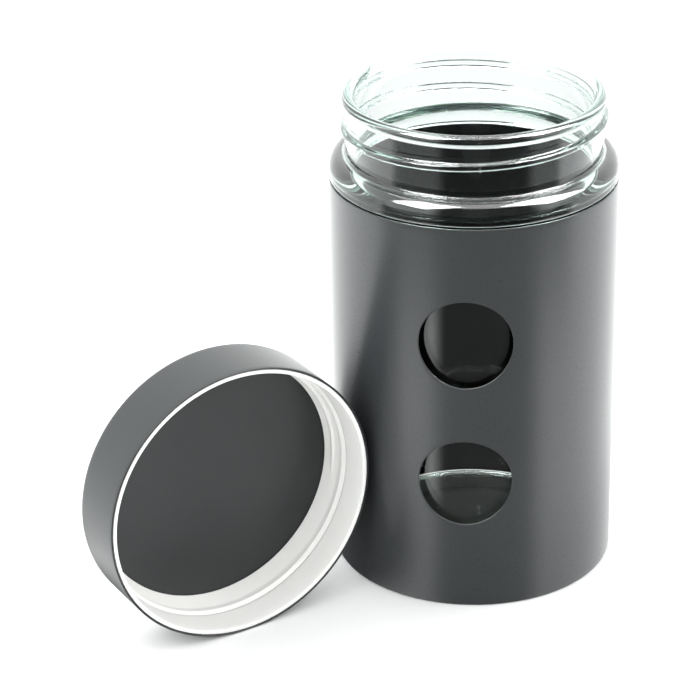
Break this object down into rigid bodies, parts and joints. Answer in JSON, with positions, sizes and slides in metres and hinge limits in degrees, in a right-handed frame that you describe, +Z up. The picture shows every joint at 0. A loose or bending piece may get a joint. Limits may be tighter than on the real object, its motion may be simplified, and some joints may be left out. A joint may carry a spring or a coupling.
{
  "type": "lidded glass storage canister",
  "caption": "Cylindrical glass storage jar in a painted steel sleeve with round windows, and its screw lid standing on edge beside it.",
  "frame": {"origin": "centre of the jar's foot, on the table", "axes": "+Z up along the jar's axis, -Y towards the side with the windows, the lid stands at -X -Y"},
  "size_m": [0.1774, 0.151, 0.1744],
  "materials": {
    "clear_glass": "clear, smooth, faintly green at thick edges",
    "sleeve_paint": "charcoal, satin",
    "lid_paint": "charcoal, satin",
    "white_plastic": "white, moulded",
    "seal_rubber": "dark grey, smooth",
    "silicone": "translucent sealant"
  },
  "bodies": {
    "canister": {"glass_jar": "clear_glass", "steel_sleeve": "sleeve_paint", "silicone_dab_2": "silicone", "silicone_dab_3": "silicone", "silicone_dab_4": "silicone", "silicone_dab_5": "silicone", "silicone_dab_6": "silicone"},
    "lift_carrier": {"silicone_dab_1": "silicone"},
    "lid_seal": {"seal_disc": "seal_rubber"},
    "lid": {"lid_shell": "lid_paint", "thread_insert": "white_plastic"}
  },
  "joints": [
    {"name": "lid_lift", "type": "slide", "parent": "canister", "child": "lift_carrier", "axis": [0, 0, 1], "range_m": [0, 0.05]},
    {"name": "lid_swing", "type": "hinge", "parent": "lift_carrier", "child": "lid_seal", "pos_m": [-0.0291, -0.06313, 0.10642], "axis": [-0.7827, 0.1642, 0.6003], "range_deg": [0, 235.71]},
    {"name": "lid_turn", "type": "hinge", "parent": "lid_seal", "child": "lid", "pos_m": [-0.074, -0.0709, 0.05], "axis": [-0.599, 0.8007, 0], "continuous": true}
  ],
  "couplings": [
    {"joint": "lid_lift", "follows": "lid_swing", "m_per_rad": 0.012153}
  ]
}
